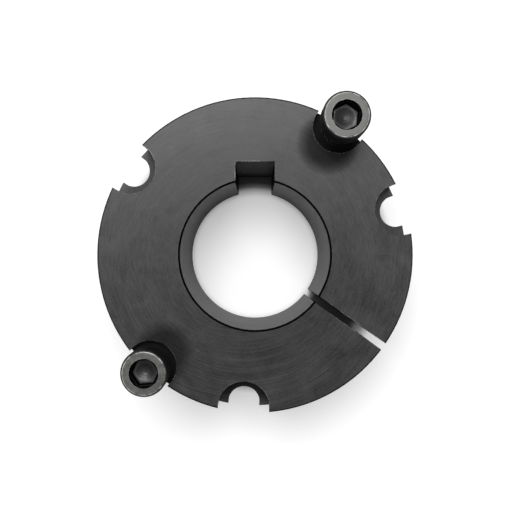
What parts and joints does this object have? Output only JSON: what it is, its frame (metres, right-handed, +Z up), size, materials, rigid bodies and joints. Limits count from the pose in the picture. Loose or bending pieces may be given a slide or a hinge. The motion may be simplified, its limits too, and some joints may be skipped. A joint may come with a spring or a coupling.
{
  "type": "split taper bush",
  "caption": "Split taper bush with a keyed bore, stepped screw half-holes in its rim, and socket cap screws in its jacking holes.",
  "frame": {"origin": "on the bore axis in the small end face, which the bush stands on", "axes": "+Z up the bore axis to the large end face, +Y through the keyway"},
  "size_m": [0.127, 0.1267, 0.0913],
  "materials": {
    "bush": "black phosphated, fine turned",
    "screws": "black oxide, lightly oiled"
  },
  "bodies": {
    "root": {"taper_bush": "bush", "jack_screw_high": "screws", "jack_screw_low": "screws"}
  },
  "joints": []
}
